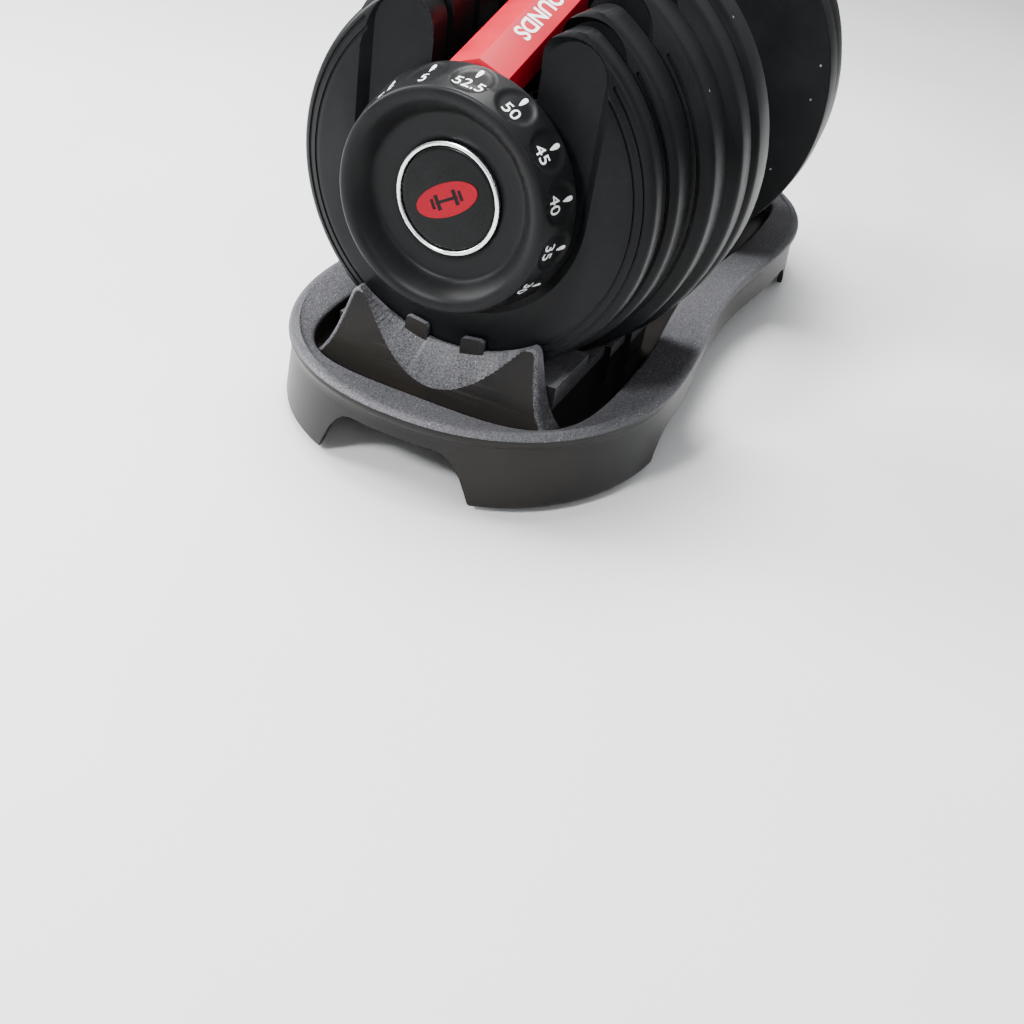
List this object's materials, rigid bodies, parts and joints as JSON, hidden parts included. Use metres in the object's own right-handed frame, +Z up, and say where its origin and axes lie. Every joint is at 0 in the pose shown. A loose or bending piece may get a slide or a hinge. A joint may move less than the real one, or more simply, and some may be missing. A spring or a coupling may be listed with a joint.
{
  "type": "adjustable dumbbell",
  "caption": "Adjustable dumbbell in its storage tray, with slotted weight plates, a selector dial at each end, sloping bridge covers and a contoured grip.",
  "frame": {"origin": "on the ground, under the middle of the tray", "axes": "+X along the handle towards the right dial, +Y to the rear, +Z up"},
  "size_m": [0.448, 0.2022, 0.2207],
  "materials": {
    "tray_plastic": "textured charcoal moulding",
    "foot_rubber": "matte",
    "grip_rubber": "fine texture",
    "zinc_steel": "zinc plated",
    "mechanism_nylon": "matte",
    "red_plastic": "satin",
    "dial_plastic": "satin with fine grain",
    "cap_plastic": "satin",
    "silver_trim": "bright",
    "clad_iron_plate": "moulded black cladding",
    "light_plate": "moulded black"
  },
  "bodies": {
    "base": {"tray": "tray_plastic", "left_front_foot": "foot_rubber", "right_front_foot": "foot_rubber", "left_rear_foot": "foot_rubber", "right_rear_foot": "foot_rubber", "left_release_post": "tray_plastic", "right_release_post": "tray_plastic"},
    "handle": {"tie_shaft": "zinc_steel", "handle_tube": "zinc_steel", "grip": "grip_rubber", "left_inner_hub": "mechanism_nylon", "left_hub_cover": "mechanism_nylon", "left_bridge_cover": "red_plastic", "left_outer_support": "mechanism_nylon", "left_washer": "zinc_steel", "left_end_nut": "zinc_steel", "left_lock_spring": "zinc_steel", "right_inner_hub": "mechanism_nylon", "right_hub_cover": "mechanism_nylon", "right_bridge_cover": "red_plastic", "right_outer_support": "mechanism_nylon", "right_washer": "zinc_steel", "right_end_nut": "zinc_steel", "right_lock_spring": "zinc_steel"},
    "left_dial": {"left_dial": "dial_plastic", "left_dial_cap": "cap_plastic", "left_cap_ring": "silver_trim", "left_selector_sleeve": "mechanism_nylon", "left_selector_drum_a": "mechanism_nylon", "left_selector_drum_b": "mechanism_nylon", "left_selector_drum_c": "mechanism_nylon", "left_selector_drum_d": "mechanism_nylon", "left_selector_drum_e": "mechanism_nylon"},
    "left_plate_a": {"left_plate_a": "clad_iron_plate"},
    "left_plate_b": {"left_plate_b": "clad_iron_plate"},
    "left_plate_c": {"left_plate_c": "clad_iron_plate"},
    "left_plate_d": {"left_plate_d": "light_plate"},
    "left_plate_e": {"left_plate_e": "light_plate"},
    "left_lock": {"left_lock_slider": "zinc_steel"},
    "right_dial": {"right_dial": "dial_plastic", "right_dial_cap": "cap_plastic", "right_cap_ring": "silver_trim", "right_selector_sleeve": "mechanism_nylon", "right_selector_drum_a": "mechanism_nylon", "right_selector_drum_b": "mechanism_nylon", "right_selector_drum_c": "mechanism_nylon", "right_selector_drum_d": "mechanism_nylon", "right_selector_drum_e": "mechanism_nylon"},
    "right_plate_a": {"right_plate_a": "clad_iron_plate"},
    "right_plate_b": {"right_plate_b": "clad_iron_plate"},
    "right_plate_c": {"right_plate_c": "clad_iron_plate"},
    "right_plate_d": {"right_plate_d": "light_plate"},
    "right_plate_e": {"right_plate_e": "light_plate"},
    "right_lock": {"right_lock_slider": "zinc_steel"}
  },
  "joints": [
    {"name": "handle_lift", "type": "slide", "parent": "base", "child": "handle", "axis": [0, 0, 1], "range_m": [0, 0.25]},
    {"name": "left_dial_turn", "type": "hinge", "parent": "handle", "child": "left_dial", "pos_m": [-0.189, 0, 0.1275], "axis": [1, 0, 0], "continuous": true},
    {"name": "right_dial_turn", "type": "hinge", "parent": "handle", "child": "right_dial", "pos_m": [0.189, 0, 0.1275], "axis": [-1, 0, 0], "continuous": true},
    {"name": "left_lock_slide", "type": "slide", "parent": "handle", "child": "left_lock", "axis": [0, 0, 1], "range_m": [-0.0031, 0], "deforming": ["left_lock_spring"]},
    {"name": "left_plate_a_lift", "type": "slide", "parent": "base", "child": "left_plate_a", "axis": [0, 0, 1], "range_m": [0, 0.25]},
    {"name": "left_plate_b_lift", "type": "slide", "parent": "base", "child": "left_plate_b", "axis": [0, 0, 1], "range_m": [0, 0.25]},
    {"name": "left_plate_c_lift", "type": "slide", "parent": "base", "child": "left_plate_c", "axis": [0, 0, 1], "range_m": [0, 0.25]},
    {"name": "left_plate_d_lift", "type": "slide", "parent": "base", "child": "left_plate_d", "axis": [0, 0, 1], "range_m": [0, 0.25]},
    {"name": "left_plate_e_lift", "type": "slide", "parent": "base", "child": "left_plate_e", "axis": [0, 0, 1], "range_m": [0, 0.25]},
    {"name": "right_lock_slide", "type": "slide", "parent": "handle", "child": "right_lock", "axis": [0, 0, 1], "range_m": [-0.0031, 0], "deforming": ["right_lock_spring"]},
    {"name": "right_plate_a_lift", "type": "slide", "parent": "base", "child": "right_plate_a", "axis": [0, 0, 1], "range_m": [0, 0.25]},
    {"name": "right_plate_b_lift", "type": "slide", "parent": "base", "child": "right_plate_b", "axis": [0, 0, 1], "range_m": [0, 0.25]},
    {"name": "right_plate_c_lift", "type": "slide", "parent": "base", "child": "right_plate_c", "axis": [0, 0, 1], "range_m": [0, 0.25]},
    {"name": "right_plate_d_lift", "type": "slide", "parent": "base", "child": "right_plate_d", "axis": [0, 0, 1], "range_m": [0, 0.25]},
    {"name": "right_plate_e_lift", "type": "slide", "parent": "base", "child": "right_plate_e", "axis": [0, 0, 1], "range_m": [0, 0.25]}
  ],
  "couplings": [
    {"joint": "left_lock_slide", "follows": "handle_lift", "ratio": -0.012},
    {"joint": "left_plate_a_lift", "follows": "handle_lift", "ratio": 1},
    {"joint": "left_plate_b_lift", "follows": "handle_lift", "ratio": 1},
    {"joint": "left_plate_c_lift", "follows": "handle_lift", "ratio": 1},
    {"joint": "left_plate_d_lift", "follows": "handle_lift", "ratio": 1},
    {"joint": "left_plate_e_lift", "follows": "handle_lift", "ratio": 1},
    {"joint": "right_lock_slide", "follows": "handle_lift", "ratio": -0.012},
    {"joint": "right_plate_a_lift", "follows": "handle_lift", "ratio": 1},
    {"joint": "right_plate_b_lift", "follows": "handle_lift", "ratio": 1},
    {"joint": "right_plate_c_lift", "follows": "handle_lift", "ratio": 1},
    {"joint": "right_plate_d_lift", "follows": "handle_lift", "ratio": 1},
    {"joint": "right_plate_e_lift", "follows": "handle_lift", "ratio": 1}
  ]
}
